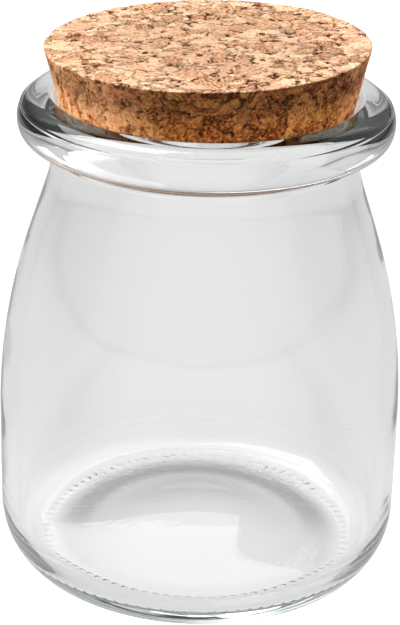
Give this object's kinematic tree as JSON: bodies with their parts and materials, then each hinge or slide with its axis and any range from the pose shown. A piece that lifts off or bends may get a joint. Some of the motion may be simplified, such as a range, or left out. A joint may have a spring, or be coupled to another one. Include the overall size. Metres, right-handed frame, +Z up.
{
  "type": "glass storage jar",
  "caption": "Clear glass storage jar with an upright body, sloping shoulders and a thick rounded rim, closed by a tapered stopper of pressed cork.",
  "frame": {"origin": "centre of the ring that the jar stands on, at the surface under it", "axes": "+Z up along the jar's axis; the picture looks along +Y from above, with +X to its right"},
  "size_m": [0.068, 0.068, 0.0911],
  "materials": {
    "glass": "clear, polished, faintly green at the edges",
    "cork": "pressed cork granules, sanded, matt"
  },
  "bodies": {
    "root": {"jar": "glass", "cork": "cork"}
  },
  "joints": []
}
